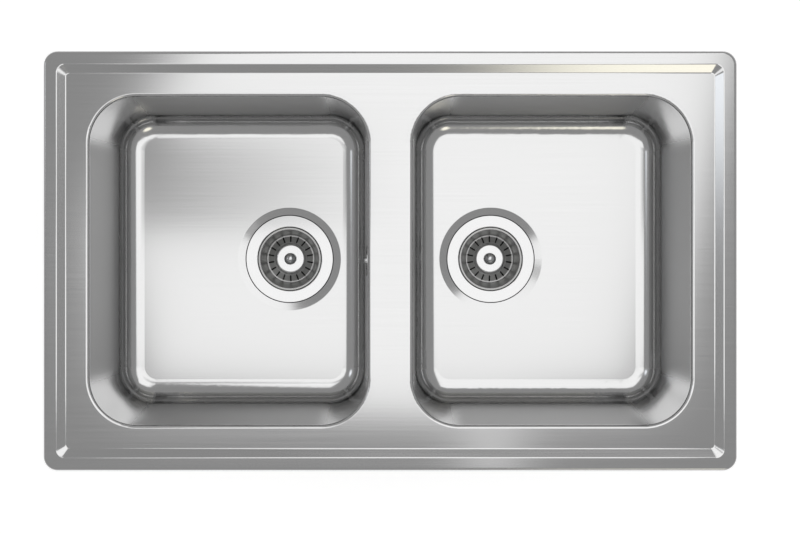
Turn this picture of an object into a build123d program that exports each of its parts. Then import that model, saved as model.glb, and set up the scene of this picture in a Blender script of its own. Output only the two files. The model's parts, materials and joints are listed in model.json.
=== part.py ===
"""Inset double bowl kitchen sink in pressed stainless steel, hung in a worktop cut-out.

Millimetres. The origin is the middle of the rim on the worktop's surface, +Z is up,
+X runs along the sink to the right bowl and +Y to the back.
"""

import os
from math import cos, hypot, radians, sin, tan

from build123d import *

# --- Sheet steel: rim, step and deck ---
SHEET = 1.0                 # gauge of the deck panel and the bowls
RIM_LENGTH = 826.0          # outside, left to right
RIM_WIDTH = 500.0           # outside, front to back
RIM_CORNER = 17.0           # outside corner radius
RIM_HEIGHT = 5.0            # top of the rim above the worktop
RIM_ROUND = 4.0             # rounded-over outer edge
FLANGE = 16.0               # rim width, from the outer edge to the step
STEP_RUN = 10.0             # width of the sloped step
STEP_DROP = 5.5             # height of the sloped step
STEP_TOP_CORNER = 10.0
STEP_FOOT_CORNER = 4.7
STEP_FOLD = 2.5             # radius over the two folds of the step

# --- Bowls ---
DECK_END = 50.0             # rim's outer edge to the fold of the bowl, left and right
DECK_SIDE = 50.0            # the same at the front and back
PARTITION = 46.0            # deck left between the two bowls
BOWL_CORNER = 60.0
BOWL_DEPTH = 180.0          # deck to floor
WALL_DRAFT = 4.0            # degrees
PARTITION_DRAFT = 2.2       # degrees, the wall beside the other bowl
BOWL_FOLD = 4.0             # radius over the edge between deck and wall
FLOOR_FILLET = 29.0
LIP = 3.0                   # flat of the bowl outside its fold, up to the weld seam

# --- Waste: recess in the floor and the flange cup in it ---
DRAIN_FROM_FOLD = 108.0     # waste's axis from the bowl's fold at the partition
RECESS_GAP = 1.3            # around the polished ring, over its gasket
RECESS_RUN = 9.5            # width of the recess's conical side
RECESS_DROP = 2.5
RECESS_FOLD = 2.0
WASTE_MOUTH = 82.4          # inside diameter of the cup
WASTE_SHEET = 1.0
CUP_GAP = 2.8               # around the cup in the floor's hole
WASTE_RING = 11.2           # how far the polished ring covers the floor round the hole
WASTE_EDGE = 1.5            # rounded inner edge of the ring
CUP_WALL = 26.0             # straight depth of the cup
CUP_THROAT = 48.0           # diameter under the conical seat
CUP_CONE = 8.0              # height of the conical seat
THROAT_DEPTH = 8.0
GRID_BORE = 12.0
GRID_CIRCLE = 31.0
GRID_HOLES = 6
FLANGE_GASKET = 1.0         # thickness, under the ring and out to the recess's side
BODY_GASKET = 2.5           # thickness, under the bowl

# --- Basket that lifts out of the cup ---
BASKET_SHEET = 0.8
BASKET_GAP = 0.6            # around the lip
BASKET_SINK = 0.6           # top of the lip under the top of the ring
BASKET_LIP = 2.6            # flat width of the lip
BASKET_DEPTH = 28.0         # under the top of the ring
BASKET_FOOT = 63.0          # diameter of the bottom
BASKET_RISE = 6.0           # slotted bottom, from its foot up to the hub
BASKET_CORNER = 3.0
BASKET_LIP_ROUND = 1.0      # over the inner edge of the lip
BASKET_LIP_UNDER = 0.3
HUB_TOP = 36.0              # diameter of the raised flat disc
HUB_FOOT = 42.0
HUB_DEPTH = 18.0            # disc under the top of the ring
SLOTS = 18                  # the first lies half a pitch off the X axis
SLOT_WIDTH = 2.0
SLOT_INNER = 43.4           # diameters between which the slots run
SLOT_OUTER = 60.0
KNOB = 15.0
KNOB_NECK = 8.0
KNOB_HEAD = 5.0
KNOB_DEPTH = 4.0            # top of the knob under the top of the ring
KNOB_ROUND = 0.9            # under the head
KNOB_DOME = 9.0             # radius over the top
STEM = 5.0
STEM_COLLAR = 8.0           # thicker length between the hub and the stopper
STEM_IN_KNOB = 8.0
STOPPER = 54.0
STOPPER_DROP = 2.2          # under the basket's bottom
SEAT_GAP = 0.3              # stopper to conical seat
STEM_GAP = 0.05             # radial, around the stem
STEM_NUT = 9.0
STEM_NUT_THICK = 3.0

# --- Plastic waste body under the bowl ---
BODY_WALL = 2.5
BODY_FLANGE_WIDTH = 11.0    # outside its bore, which is as wide as the floor's hole
BODY_FLANGE_THICK = 4.0
BELL_DEPTH = 46.0           # straight part of the bell
BELL_CONE = 12.0
OUTLET = 47.8               # outside of the 1 1/2 inch pipe thread
OUTLET_WALL = 3.9
OUTLET_LENGTH = 26.0
BOSS = 12.0                 # carries the brass insert in the middle of the bell
BOSS_DROP = 3.5             # under the cup's grid
BOSS_LENGTH = 20.0
BOSS_RIB = 2.0
BOSS_RIB_HEIGHT = 9.0
BOSS_RIBS = 3
WASTE_SCREW = 6.0
WASTE_SCREW_HEAD = 12.0
WASTE_SCREW_HEAD_THICK = 3.0
WASTE_SCREW_LENGTH = 22.0
SCREW_SLOT = 1.6
INSERT = 9.0
INSERT_LENGTH = 14.0
THREAD_GAP = 0.05           # radial, between a thread and its nut

# --- Overflow on the left bowl's partition wall ---
OVERFLOW_DROP = 30.0        # centre under the deck
OVERFLOW_BORE = 28.0
ROSETTE = 38.0
ROSETTE_THICK = 1.2
ROSETTE_BORE = 5.0
ROSETTE_HOLES = 8
ROSETTE_CIRCLE = 18.0
OVERFLOW_GASKET = 2.0
ELBOW_FLANGE = 44.0
ELBOW_FLANGE_THICK = 3.0
ELBOW_CHAMBER = 34.0
ELBOW_LENGTH = 27.0         # from the gasket to the closed end
ELBOW_WALL = 2.5
ELBOW_POST = 8.0
ELBOW_OUTLET_BACK = 19.0    # outlet's axis behind the bowl's wall
OVERFLOW_SCREW = 4.0
OVERFLOW_SCREW_HEAD = 8.0
OVERFLOW_SCREW_RISE = 2.4
OVERFLOW_SCREW_ROUND = 1.9  # domed edge of its head
OVERFLOW_SCREW_LENGTH = 20.0

# --- Ribbed overflow hose ---
SPIGOT = 20.0
SPIGOT_BORE = 15.0
SPIGOT_LENGTH = 20.0
SPIGOT_DEPTH = 28.0         # side spigot's axis under the top of the ring
HOSE_GAP = 0.05             # radial, cuff over spigot
HOSE_CUFF = 24.0            # outside diameter and length of the plain ends
HOSE_FROM_FITTING = 2.0
HOSE_BORE = 18.4
HOSE_VALLEY = 20.8
HOSE_CREST = 24.0
HOSE_PITCH = 4.5
HOSE_CREST_FROM = 0.45      # shares of a pitch at which the valley ends and the crest starts and ends
HOSE_CREST_TO = 0.8
HOSE_VALLEY_TO = 0.25
HOSE_BEND = 38.0
CLIP_THICK = 1.2
CLIP_WIDTH = 8.0
CLIP_FROM_END = 6.0
CLIP_EAR = 7.0
CLIP_EAR_WIDTH = 5.0

# --- Seal and sound pads ---
SEAL_FROM_EDGE = 4.4
SEAL_WIDTH = 9.6
PAD_THICK = 3.0
PAD_CORNER = 6.0
PAD_FROM_RECESS = 12.0
PAD_FROM_END = 48.0         # from the bowl's fold at the sink's end
PAD_FROM_SIDE = 80.0        # from its folds at the front and back

# --- Clamps that hold the sink down ---
CLAMP_FROM_FOLD = 14.0      # screw axis outside the bowls' fold
CLAMP_FROM_END = 153.0      # outer clamps of a long side from the rim's ends
CLAMP_METAL = 2.0
LUG_METAL = 1.2
LUG_WIDTH = 18.0
LUG_FOOT = 12.0
LUG_LEG = 13.0
LUG_BUTTON = 6.0            # pressed button that holds the bracket in the lug
BRACKET_WIDTH = 16.0
BRACKET_TOP = 14.0          # upper leg's top under the worktop's surface
WORKTOP = 40.0              # thickest worktop that the clamps reach under
TIP_CLEAR = 1.4             # slackened arm's tip under the thickest worktop
BRACKET_LIP = 6.5           # legs beyond the screw's axis
CLAMP_SCREW = 6.0
CLAMP_SCREW_HEAD = 10.0
CLAMP_SCREW_HEAD_THICK = 4.0
CLAMP_SCREW_RISE = 2.5      # end of the screw over the upper leg
CLAMP_HOLE_GAP = 0.3        # radial, around the screw in the legs
PLATE_GAP = 0.5             # nut and arm to the bracket's plate
NUT_THICK = 5.0
NUT_CLEAR = 0.5             # nut above the lower leg, fully slackened
ARM_WIDTH = 14.0
ARM_REACH = 27.0            # screw axis to the tip
ARM_RISE = 9.0              # tip above the arm
ARM_ON_NUT = 0.1            # running gap
ARM_BORE_GAP = 0.08         # radial, around the screw
ARM_NOTCH = 6.0             # width of the notch between the tip's two teeth

# --- Worked out from the sizes above ---
half_draft = radians(45.0 - WALL_DRAFT / 2)
deck_top = RIM_HEIGHT - STEP_DROP
deck_under = deck_top - SHEET
floor_top = deck_top - BOWL_DEPTH
floor_under = floor_top - SHEET
waste_bore = WASTE_MOUTH + 2 * (WASTE_SHEET + CUP_GAP)
waste_flange_size = waste_bore + 2 * WASTE_RING
recess_foot = waste_flange_size + 2 * RECESS_GAP
recess_top = recess_foot + 2 * RECESS_RUN
body_flange = waste_bore + 2 * BODY_FLANGE_WIDTH
bowl_length = (RIM_LENGTH - PARTITION) / 2 - DECK_END
bowl_width = RIM_WIDTH - 2 * DECK_SIDE
bowl_centre = (bowl_length + PARTITION) / 2
drain_x = PARTITION / 2 + DRAIN_FROM_FOLD
ring_top = floor_top - RECESS_DROP
seat_top = ring_top - WASTE_SHEET - FLANGE_GASKET
seat_under = seat_top - SHEET
body_top = seat_under - BODY_GASKET
throat_top = ring_top - CUP_WALL - CUP_CONE
grid_top = throat_top - THROAT_DEPTH
seat_slope = CUP_CONE / ((WASTE_MOUTH - CUP_THROAT) / 2)
basket_floor = ring_top - BASKET_DEPTH
hub_level = ring_top - HUB_DEPTH
stopper_foot = throat_top + SEAT_GAP * hypot(1, seat_slope)
stopper_top = basket_floor - BASKET_SHEET - STOPPER_DROP
knob_top = ring_top - KNOB_DEPTH
bell_foot = body_top - BELL_DEPTH
outlet_top = bell_foot - BELL_CONE
outlet_end = outlet_top - OUTLET_LENGTH
boss_top = grid_top - WASTE_SHEET - BOSS_DROP
spigot_z = ring_top - SPIGOT_DEPTH
bell_side = waste_bore / 2 + BODY_WALL
plate_face = -(ARM_WIDTH / 2 + PLATE_GAP)
arm_under = -WORKTOP - TIP_CLEAR - ARM_RISE - CLAMP_METAL
nut_under = arm_under - ARM_ON_NUT - NUT_THICK
bracket_foot = CLAMP_METAL + NUT_CLEAR - nut_under


def level(part, z):
    """The edges that lie in one level plane."""
    return part.edges().filter_by(
        lambda e: abs(e.bounding_box().min.Z - z) < 1e-3 and abs(e.bounding_box().max.Z - z) < 1e-3
    )


def flat_at(part, z):
    """The largest flat, level face at a height."""
    faces = [f for f in part.faces().filter_by(Plane.XY) if abs(f.center().Z - z) < 1e-3]
    return max(faces, key=lambda f: f.area)


def hole_edges(part, z):
    """The edges round the opening in the flat ring at a height."""
    return flat_at(part, z).inner_wires()[0].edges()


def outline(length, width, corner, z):
    return Pos(0, 0, z) * RectangleRounded(length, width, corner)


def slab(length, width, corner, z_low, z_high):
    return extrude(outline(length, width, corner, z_low), z_high - z_low)


def turned(points):
    """Solid turned about the Z axis from its half outline, given as (radius, z)."""
    return revolve(make_face(Plane.XZ * Polyline(*points, close=True)), Axis.Z)


def disc(diameter, z_low, z_high):
    return Pos(0, 0, z_low) * Cylinder(diameter / 2, z_high - z_low,
                                       align=(Align.CENTER, Align.CENTER, Align.MIN))


def tube(outside, inside, z_low, z_high):
    return disc(outside, z_low, z_high) - disc(inside, z_low, z_high)


def block(x, y, z):
    """Box between two limits on each axis."""
    size = [high - low for low, high in (x, y, z)]
    middle = [(high + low) / 2 for low, high in (x, y, z)]
    return Pos(*middle) * Box(*size)


def moved_line(points, gap):
    """Polyline moved sideways by a gap, to the left of its direction, with mitred corners."""
    normals = []
    for (r0, z0), (r1, z1) in zip(points, points[1:]):
        length = hypot(r1 - r0, z1 - z0)
        normals.append(((z0 - z1) / length, (r1 - r0) / length))
    moved = []
    for i, (r, z) in enumerate(points):
        a = normals[max(i - 1, 0)]
        b = normals[min(i, len(normals) - 1)]
        share = gap / (1 + a[0] * b[0] + a[1] * b[1])
        moved.append((r + (a[0] + b[0]) * share, z + (a[1] + b[1]) * share))
    return moved


def turned_sheet(points, thickness, bends):
    """Turned sheet under a half outline that runs inwards.

    Each bend is a point's number and the radii over it, above and below the sheet.
    """
    under = moved_line(points, thickness)
    sheet = turned(points + under[::-1])
    for number, above, below in bends:
        for line, radius in ((points, above), (under, below)):
            sheet = fillet(circles(sheet, *line[number]), radius)
    return sheet


def circles(part, radius, z):
    return [e for e in part.edges().filter_by(GeomType.CIRCLE)
            if abs(e.radius - radius) < 1e-3 and abs(e.arc_center.Z - z) < 1e-3]


# --- Deck panel, bowls and seal ---

def bowl_mouth(grow=0.0):
    """Length, width and corner of the sharp edge between deck and wall, grown all round."""
    inset = BOWL_FOLD * tan(half_draft) - grow
    return bowl_length - 2 * inset, bowl_width - 2 * inset, BOWL_CORNER - inset


def lip_outline():
    return bowl_length + 2 * LIP, bowl_width + 2 * LIP, BOWL_CORNER + LIP


def deck_panel():
    """Rim with its rounded edge, sloped step and flat deck, one pressed sheet."""
    slope = STEP_DROP / STEP_RUN
    lift = SHEET * ((1 + slope**2) ** 0.5 - 1) / slope
    rim = slab(RIM_LENGTH, RIM_WIDTH, RIM_CORNER, 0, RIM_HEIGHT)
    rim = fillet(level(rim, RIM_HEIGHT), RIM_ROUND)
    hollow = slab(RIM_LENGTH - 2 * SHEET, RIM_WIDTH - 2 * SHEET, RIM_CORNER - SHEET,
                  -SHEET, RIM_HEIGHT - SHEET)
    hollow = fillet(level(hollow, RIM_HEIGHT - SHEET), RIM_ROUND - SHEET)

    def step_at(inset, corner, z, grow):
        return outline(RIM_LENGTH - 2 * inset + 2 * grow, RIM_WIDTH - 2 * inset + 2 * grow,
                       corner + grow, z)

    def tray(grow, down):
        top = step_at(FLANGE, STEP_TOP_CORNER, RIM_HEIGHT - down, grow)
        foot = step_at(FLANGE + STEP_RUN, STEP_FOOT_CORNER, deck_top - down, grow)
        return loft([top, foot], ruled=True)

    panel = rim - hollow + tray(lift, SHEET) - tray(0, 0)
    panel = fillet(hole_edges(panel, RIM_HEIGHT), STEP_FOLD)
    panel = fillet(flat_at(panel, deck_top).outer_wire().edges(), STEP_FOLD)
    for side in (-1, 1):
        panel -= Pos(side * bowl_centre, 0, 0) * slab(*lip_outline(), deck_under - 1, RIM_HEIGHT)
    return panel


def tapered(grow, depth, side):
    """Block under a bowl's mouth, narrowed by the draft of each wall, down to a depth."""
    length, width, corner = bowl_mouth(grow)
    wall = depth * tan(radians(WALL_DRAFT))
    partition = depth * tan(radians(PARTITION_DRAFT))
    foot = outline(length - wall - partition, width - 2 * wall, corner - wall, deck_top - depth)
    return loft([outline(length, width, corner, deck_top), Pos(side * (wall - partition) / 2, 0, 0) * foot],
                ruled=True)


def bowl(side):
    """Deep-drawn bowl with its lip, drafted walls, rounded floor and drain recess."""
    drain = Pos(side * (drain_x - bowl_centre), 0, 0)
    lip = slab(*lip_outline(), deck_under, deck_top)
    shell = tapered(SHEET, BOWL_DEPTH + SHEET, -side)
    shell = fillet(level(shell, floor_under), FLOOR_FILLET + SHEET)
    cavity = tapered(0, BOWL_DEPTH, -side)
    cavity = fillet(level(cavity, floor_top), FLOOR_FILLET)
    under = drain * turned([(0, floor_under + SHEET), (recess_top / 2 + SHEET, floor_under),
                            (recess_foot / 2 + SHEET, floor_under - RECESS_DROP),
                            (recess_foot / 2 + SHEET, seat_under), (0, seat_under)])
    recess = drain * turned([(0, floor_top + SHEET), (recess_top / 2, floor_top + SHEET),
                             (recess_top / 2, floor_top), (recess_foot / 2, ring_top),
                             (recess_foot / 2, seat_top), (0, seat_top)])
    pressed = lip + shell
    pressed = fillet(hole_edges(pressed, deck_under), BOWL_FOLD - SHEET)
    pressed = pressed + under - cavity
    pressed = fillet(hole_edges(pressed, deck_top), BOWL_FOLD) - recess
    pressed = fillet(hole_edges(pressed, floor_top), RECESS_FOLD)
    pressed -= drain * disc(waste_bore, seat_under - SHEET, floor_top)
    if side < 0:
        pressed -= overflow_place() * Cylinder(OVERFLOW_BORE / 2, ROSETTE / 2)
    return Pos(side * bowl_centre, 0, 0) * pressed


def overflow_place():
    """Frame on the inside of the left bowl's partition wall: Z into the bowl, Y down the wall."""
    draft = radians(PARTITION_DRAFT)
    wall_x = bowl_mouth()[0] / 2 - OVERFLOW_DROP * tan(draft)
    return Plane(origin=(wall_x, 0, deck_top - OVERFLOW_DROP), x_dir=(0, 1, 0),
                 z_dir=(-cos(draft), 0, sin(draft))).location


def rim_seal():
    """Foam seal under the flange, from the worktop up to the sheet."""
    def ring(inset, z_low, z_high):
        return slab(RIM_LENGTH - 2 * inset, RIM_WIDTH - 2 * inset, RIM_CORNER - inset, z_low, z_high)
    height = RIM_HEIGHT - SHEET
    return ring(SEAL_FROM_EDGE, 0, height) - ring(SEAL_FROM_EDGE + SEAL_WIDTH, -SHEET, height + SHEET)


def sound_pad(side):
    """Pad stuck under the flat of the floor, beside the recess."""
    inner = drain_x + recess_top / 2 + SHEET + PAD_FROM_RECESS
    outer = RIM_LENGTH / 2 - DECK_END - PAD_FROM_END
    return Pos(side * (inner + outer) / 2, 0, 0) * slab(
        outer - inner, bowl_width - 2 * PAD_FROM_SIDE, PAD_CORNER, floor_under - PAD_THICK, floor_under)


# --- Waste fittings, made about the Z axis ---

def waste_flange():
    """Polished ring and cup with its conical seat and a grid for the screw."""
    mouth, throat = WASTE_MOUTH / 2, CUP_THROAT / 2
    line = [(waste_flange_size / 2, ring_top), (mouth, ring_top), (mouth, ring_top - CUP_WALL),
            (throat, throat_top), (throat, grid_top), (0, grid_top)]
    cup = turned_sheet(line, WASTE_SHEET, [(1, WASTE_EDGE, WASTE_EDGE - WASTE_SHEET / 2)])
    holes = PolarLocations(GRID_CIRCLE / 2, GRID_HOLES)
    cup -= holes * disc(GRID_BORE, grid_top - 2 * WASTE_SHEET, grid_top + WASTE_SHEET)
    return cup - disc(WASTE_SCREW + 2 * CLAMP_HOLE_GAP, grid_top - 2 * WASTE_SHEET, grid_top + WASTE_SHEET)


def flange_gasket():
    return tube(recess_foot, waste_bore, seat_top, seat_top + FLANGE_GASKET)


def body_gasket():
    return tube(body_flange, waste_bore, body_top, seat_under)


def waste_body(side):
    """Plastic bell with its flange, boss and threaded outlet; the left one takes the overflow."""
    bore = waste_bore / 2
    outside = [(0, body_top), (body_flange / 2, body_top), (body_flange / 2, body_top - BODY_FLANGE_THICK),
               (bell_side, body_top - BODY_FLANGE_THICK), (bell_side, bell_foot),
               (OUTLET / 2, outlet_top), (OUTLET / 2, outlet_end), (0, outlet_end)]
    bore_end = OUTLET / 2 - OUTLET_WALL
    inside = [(0, body_top), (bore, body_top), (bore, bell_foot), (bore_end, outlet_top),
              (bore_end, outlet_end), (0, outlet_end)]
    body = turned(outside) - turned(inside)
    rib_foot = boss_top - BOSS_RIB_HEIGHT
    rib = block((BOSS / 4, bore + BODY_WALL / 2), (-BOSS_RIB / 2, BOSS_RIB / 2), (rib_foot, boss_top))
    body += PolarLocations(0, BOSS_RIBS, 180 / BOSS_RIBS) * rib
    body += disc(BOSS, boss_top - BOSS_LENGTH, boss_top)
    body -= disc(INSERT, boss_top - INSERT_LENGTH, boss_top)
    body -= disc(WASTE_SCREW + 2 * CLAMP_HOLE_GAP, boss_top - BOSS_LENGTH + BOSS_RIB, boss_top)
    if side < 0:
        out = Plane(origin=(bore, 0, spigot_z), x_dir=(0, 1, 0), z_dir=(1, 0, 0)).location
        body += out * disc(SPIGOT, 0, BODY_WALL + SPIGOT_LENGTH) - turned(inside)
        body -= out * disc(SPIGOT_BORE, -2 * BODY_WALL, BODY_WALL + SPIGOT_LENGTH)
    return body


def waste_screw():
    """Screw that pulls the cup down onto the floor and the bell up against it."""
    head = disc(WASTE_SCREW_HEAD, grid_top, grid_top + WASTE_SCREW_HEAD_THICK)
    head = fillet(circles(head, WASTE_SCREW_HEAD / 2, grid_top + WASTE_SCREW_HEAD_THICK),
                  WASTE_SCREW_HEAD_THICK / 2)
    slot = block((-WASTE_SCREW_HEAD, WASTE_SCREW_HEAD), (-SCREW_SLOT / 2, SCREW_SLOT / 2),
                 (grid_top + WASTE_SCREW_HEAD_THICK / 2, ring_top))
    return head - slot + disc(WASTE_SCREW, grid_top - WASTE_SCREW_LENGTH, grid_top)


def screw_insert():
    return tube(INSERT, WASTE_SCREW + 2 * THREAD_GAP, boss_top - INSERT_LENGTH, boss_top)


# --- Basket, made about the Z axis ---

def basket_cup():
    """Pressed strainer cup: flat lip, tapered wall, slotted bottom that rises to a hub."""
    lip = WASTE_MOUTH / 2 - BASKET_GAP
    lip_top = ring_top - BASKET_SINK
    line = [(lip, lip_top), (lip - BASKET_LIP, lip_top), (BASKET_FOOT / 2, basket_floor),
            (HUB_FOOT / 2, basket_floor + BASKET_RISE), (HUB_TOP / 2, hub_level), (0, hub_level)]
    outer, inner = BASKET_CORNER, BASKET_CORNER - BASKET_SHEET
    cup = turned_sheet(line, BASKET_SHEET, [(1, BASKET_LIP_ROUND, BASKET_LIP_UNDER),
                                             (2, inner, outer), (4, outer, inner)])
    slot = Pos((SLOT_INNER + SLOT_OUTER) / 4, 0, basket_floor - BASKET_CORNER) * extrude(
        SlotOverall((SLOT_OUTER - SLOT_INNER) / 2, SLOT_WIDTH), 2 * BASKET_CORNER + BASKET_RISE)
    cup -= PolarLocations(0, SLOTS, 180 / SLOTS) * slot
    return cup - disc(STEM + 2 * STEM_GAP, hub_level - 2 * BASKET_SHEET, hub_level + BASKET_SHEET)


def basket_knob():
    """Turned mushroom knob with a domed top, on the raised hub."""
    neck, head, foot = KNOB_NECK / 2, KNOB / 2, knob_top - KNOB_HEAD
    knob = turned([(0, hub_level), (neck, hub_level), (neck, foot), (head, foot), (head, knob_top),
                   (0, knob_top)])
    knob = fillet(circles(knob, head, foot), KNOB_ROUND)
    knob &= Pos(0, 0, knob_top - KNOB_DOME) * Sphere(KNOB_DOME)
    return knob - disc(STEM + 2 * STEM_GAP, hub_level, hub_level + STEM_IN_KNOB + STEM_GAP)


def basket_stem():
    stem = disc(STEM, stopper_foot - STEM_NUT_THICK, hub_level + STEM_IN_KNOB)
    return stem + disc(STEM_COLLAR, stopper_top, hub_level - BASKET_SHEET)


def basket_stopper():
    """Rubber stopper whose bevel stands just over the cup's conical seat."""
    edge = STOPPER / 2
    edge_z = stopper_foot + (edge - CUP_THROAT / 2) * seat_slope
    stopper = turned([(0, stopper_top), (edge, stopper_top), (edge, edge_z),
                      (CUP_THROAT / 2, stopper_foot), (0, stopper_foot)])
    return stopper - disc(STEM + 2 * STEM_GAP, stopper_foot, stopper_top)


def stem_nut():
    nut = extrude(Pos(0, 0, stopper_foot - STEM_NUT_THICK) * RegularPolygon(STEM_NUT / 2, 6), STEM_NUT_THICK)
    return nut - disc(STEM + 2 * THREAD_GAP, stopper_foot - STEM_NUT_THICK, stopper_foot)


# --- Overflow: pieces in the frame of overflow_place, Z into the bowl ---

def overflow_frame():
    return Pos(-bowl_centre, 0, 0) * overflow_place()


def overflow_rosette():
    """Flush pierced cover over the overflow hole."""
    cover = disc(ROSETTE, 0, ROSETTE_THICK)
    cover = chamfer(circles(cover, ROSETTE / 2, ROSETTE_THICK), ROSETTE_THICK / 2)
    cover -= PolarLocations(ROSETTE_CIRCLE / 2, ROSETTE_HOLES) * disc(ROSETTE_BORE, 0, ROSETTE_THICK)
    return overflow_frame() * (cover - disc(OVERFLOW_SCREW + 2 * CLAMP_HOLE_GAP, 0, ROSETTE_THICK))


def overflow_screw():
    top = ROSETTE_THICK + OVERFLOW_SCREW_RISE
    head = disc(OVERFLOW_SCREW_HEAD, ROSETTE_THICK, top)
    head = fillet(circles(head, OVERFLOW_SCREW_HEAD / 2, top), OVERFLOW_SCREW_ROUND)
    return overflow_frame() * (head + disc(OVERFLOW_SCREW, top - OVERFLOW_SCREW_LENGTH, ROSETTE_THICK))


def overflow_gasket():
    ring = tube(ELBOW_FLANGE, OVERFLOW_BORE + 2 * SHEET, -SHEET - OVERFLOW_GASKET, -SHEET)
    return overflow_frame() * ring


def overflow_elbow():
    """Plastic chamber behind the overflow hole with its outlet straight down."""
    front = -SHEET - OVERFLOW_GASKET
    back = front - ELBOW_LENGTH
    place = overflow_frame()
    chamber = disc(ELBOW_CHAMBER, back, front) + disc(ELBOW_FLANGE, front - ELBOW_FLANGE_THICK, front)
    room = disc(ELBOW_CHAMBER - 2 * ELBOW_WALL, back + ELBOW_WALL, front)
    post = disc(ELBOW_POST, back, front)
    down = outlet_axis()
    outlet_end_z = -ELBOW_CHAMBER / 2 - SPIGOT_LENGTH
    outlet = down * disc(SPIGOT, outlet_end_z, 0)
    passage = down * disc(SPIGOT_BORE, outlet_end_z, 0)
    elbow = place * chamber + outlet - place * (room - post) - (passage - place * post)
    return elbow - place * disc(OVERFLOW_SCREW + 2 * THREAD_GAP, back + ELBOW_WALL, front)


def outlet_axis():
    """Point on the overflow's axis over the elbow's outlet."""
    return Pos(*(overflow_frame() * Pos(0, 0, -ELBOW_OUTLET_BACK)).position)


def hose_route():
    """Down the gap between the bowls and round under the left bowl to the waste's spigot."""
    start = outlet_axis().position - Vector(0, 0, ELBOW_CHAMBER / 2 + HOSE_FROM_FITTING)
    end = Vector(-drain_x + bell_side + HOSE_FROM_FITTING, 0, spigot_z)
    return FilletPolyline(start, Vector(start.X, 0, spigot_z), end, radius=HOSE_BEND)


def across(route, distance):
    """Plane square to the route at a distance from its start, with a steady X axis."""
    return Plane(origin=route.position_at(distance / route.length), x_dir=(0, 1, 0),
                 z_dir=route.tangent_at(distance / route.length))


def overflow_hose():
    """Ribbed hose with a plain cuff at each end."""
    route = hose_route()
    ribbed = route.length - 2 * HOSE_CUFF
    count = round(ribbed / HOSE_PITCH)
    pitch = ribbed / count
    valley, crest = HOSE_VALLEY / 2, HOSE_CREST / 2
    shares = ((0, valley), (HOSE_VALLEY_TO, valley), (HOSE_CREST_FROM, crest), (HOSE_CREST_TO, crest))
    rings = [across(route, HOSE_CUFF + (rib + share) * pitch) * Circle(radius)
             for rib in range(count)
             for share, radius in shares]
    rings.append(across(route, route.length - HOSE_CUFF) * Circle(valley))
    hose = loft(rings, ruled=True)
    bore = sweep(across(route, 0) * Circle(HOSE_BORE / 2), route.wire())
    for end, turn in ((0, 1), (route.length, -1)):
        place = across(route, end).location * Rot(0, 90 * (1 - turn), 0)
        hose += place * disc(HOSE_CUFF, 0, HOSE_CUFF)
        bore += place * disc(SPIGOT + 2 * HOSE_GAP, 0, SPIGOT_LENGTH)
    return hose - bore


def hose_clips():
    """Band clip with its ear round each cuff."""
    route = hose_route()
    band = tube(HOSE_CUFF + 2 * CLIP_THICK, HOSE_CUFF, 0, CLIP_WIDTH)
    ear = block((HOSE_CUFF / 2 + CLIP_THICK / 2, HOSE_CUFF / 2 + CLIP_EAR),
                (-CLIP_EAR_WIDTH / 2, CLIP_EAR_WIDTH / 2), (0, CLIP_WIDTH))
    starts = (CLIP_FROM_END, route.length - CLIP_FROM_END - CLIP_WIDTH)
    return Compound([across(route, start).location * (band + ear) for start in starts])


# --- Clamps: pieces with the screw on the Z axis, Y towards the rim's edge ---

def clamp_places():
    """Screw axis of each clamp: three along the back and front, one at each end."""
    back, end = bowl_width / 2 + CLAMP_FROM_FOLD, RIM_LENGTH / 2 - DECK_END + CLAMP_FROM_FOLD
    spread = RIM_LENGTH / 2 - CLAMP_FROM_END
    row = [Pos(x, back, 0) for x in (-spread, 0, spread)]
    places = row + [Pos(end, 0, 0) * Rot(0, 0, -90)]
    return places + [Rot(0, 0, 180) * place for place in places]


def clamp_lug():
    """Angle spot-welded under the deck, with a hole for the bracket's button."""
    back = plate_face - CLAMP_METAL - LUG_METAL
    foot = block((-LUG_WIDTH / 2, LUG_WIDTH / 2), (back, back + LUG_FOOT),
                 (deck_under - LUG_METAL, deck_under))
    leg = block((-LUG_WIDTH / 2, LUG_WIDTH / 2), (back, back + LUG_METAL),
                (deck_under - LUG_LEG, deck_under))
    return foot + leg - button_place() * disc(LUG_BUTTON + 2 * THREAD_GAP, 0, LUG_METAL)


def button_place():
    """On the back of the bracket's plate, Z away from the rim's edge."""
    height = deck_under - (LUG_METAL + LUG_LEG) / 2
    return Plane(origin=(0, plate_face - CLAMP_METAL, height), x_dir=(1, 0, 0), z_dir=(0, -1, 0)).location


def clamp_bracket():
    """Pressed bracket: plate on the lug and two legs that guide the screw."""
    half = BRACKET_WIDTH / 2
    back = plate_face - CLAMP_METAL
    bracket = block((-half, half), (back, plate_face), (-bracket_foot, deck_under - LUG_METAL - PLATE_GAP))
    for top in (-BRACKET_TOP, CLAMP_METAL - bracket_foot):
        bracket += block((-half, half), (back, BRACKET_LIP), (top - CLAMP_METAL, top))
    bracket += button_place() * disc(LUG_BUTTON, 0, LUG_METAL)
    return bracket - disc(CLAMP_SCREW + 2 * CLAMP_HOLE_GAP, -bracket_foot, 0)


def clamp_screw():
    """Hexagon-headed screw, turned from below."""
    head = extrude(Pos(0, 0, -bracket_foot - CLAMP_SCREW_HEAD_THICK)
                   * RegularPolygon(CLAMP_SCREW_HEAD / 2, 6, major_radius=False), CLAMP_SCREW_HEAD_THICK)
    return head + disc(CLAMP_SCREW, -bracket_foot, CLAMP_SCREW_RISE - BRACKET_TOP)


def clamp_nut():
    """Square nut that the bracket's plate keeps from turning."""
    half = ARM_WIDTH / 2
    top = nut_under + NUT_THICK
    nut = block((-half, half), (-half, half), (nut_under, top))
    return nut - disc(CLAMP_SCREW + 2 * THREAD_GAP, nut_under, top)


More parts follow.
